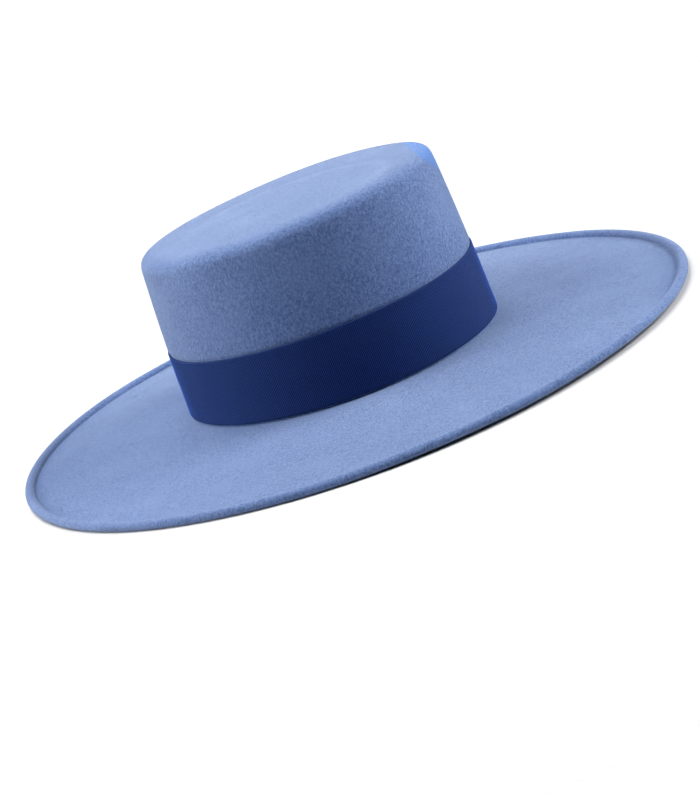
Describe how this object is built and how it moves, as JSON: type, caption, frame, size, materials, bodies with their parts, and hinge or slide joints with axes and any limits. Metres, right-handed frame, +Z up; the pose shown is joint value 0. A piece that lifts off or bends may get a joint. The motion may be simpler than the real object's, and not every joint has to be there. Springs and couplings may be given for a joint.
{
  "type": "cordobes hat",
  "caption": "Felt cordobes hat with a flat-topped upright crown, a wide flat brim with a rolled edge, and a plain ribbon band.",
  "frame": {"origin": "middle of the hat's footprint, on the surface it rests on", "axes": "+Z up, -Y to the hat's front, +X to the wearer's left"},
  "size_m": [0.3854, 0.4206, 0.1133],
  "materials": {
    "felt": "soft brushed wool felt, periwinkle blue",
    "ribbon": "ribbed grosgrain ribbon, navy, slight sheen"
  },
  "bodies": {
    "root": {"felt_body": "felt", "ribbon_band": "ribbon"}
  },
  "joints": []
}
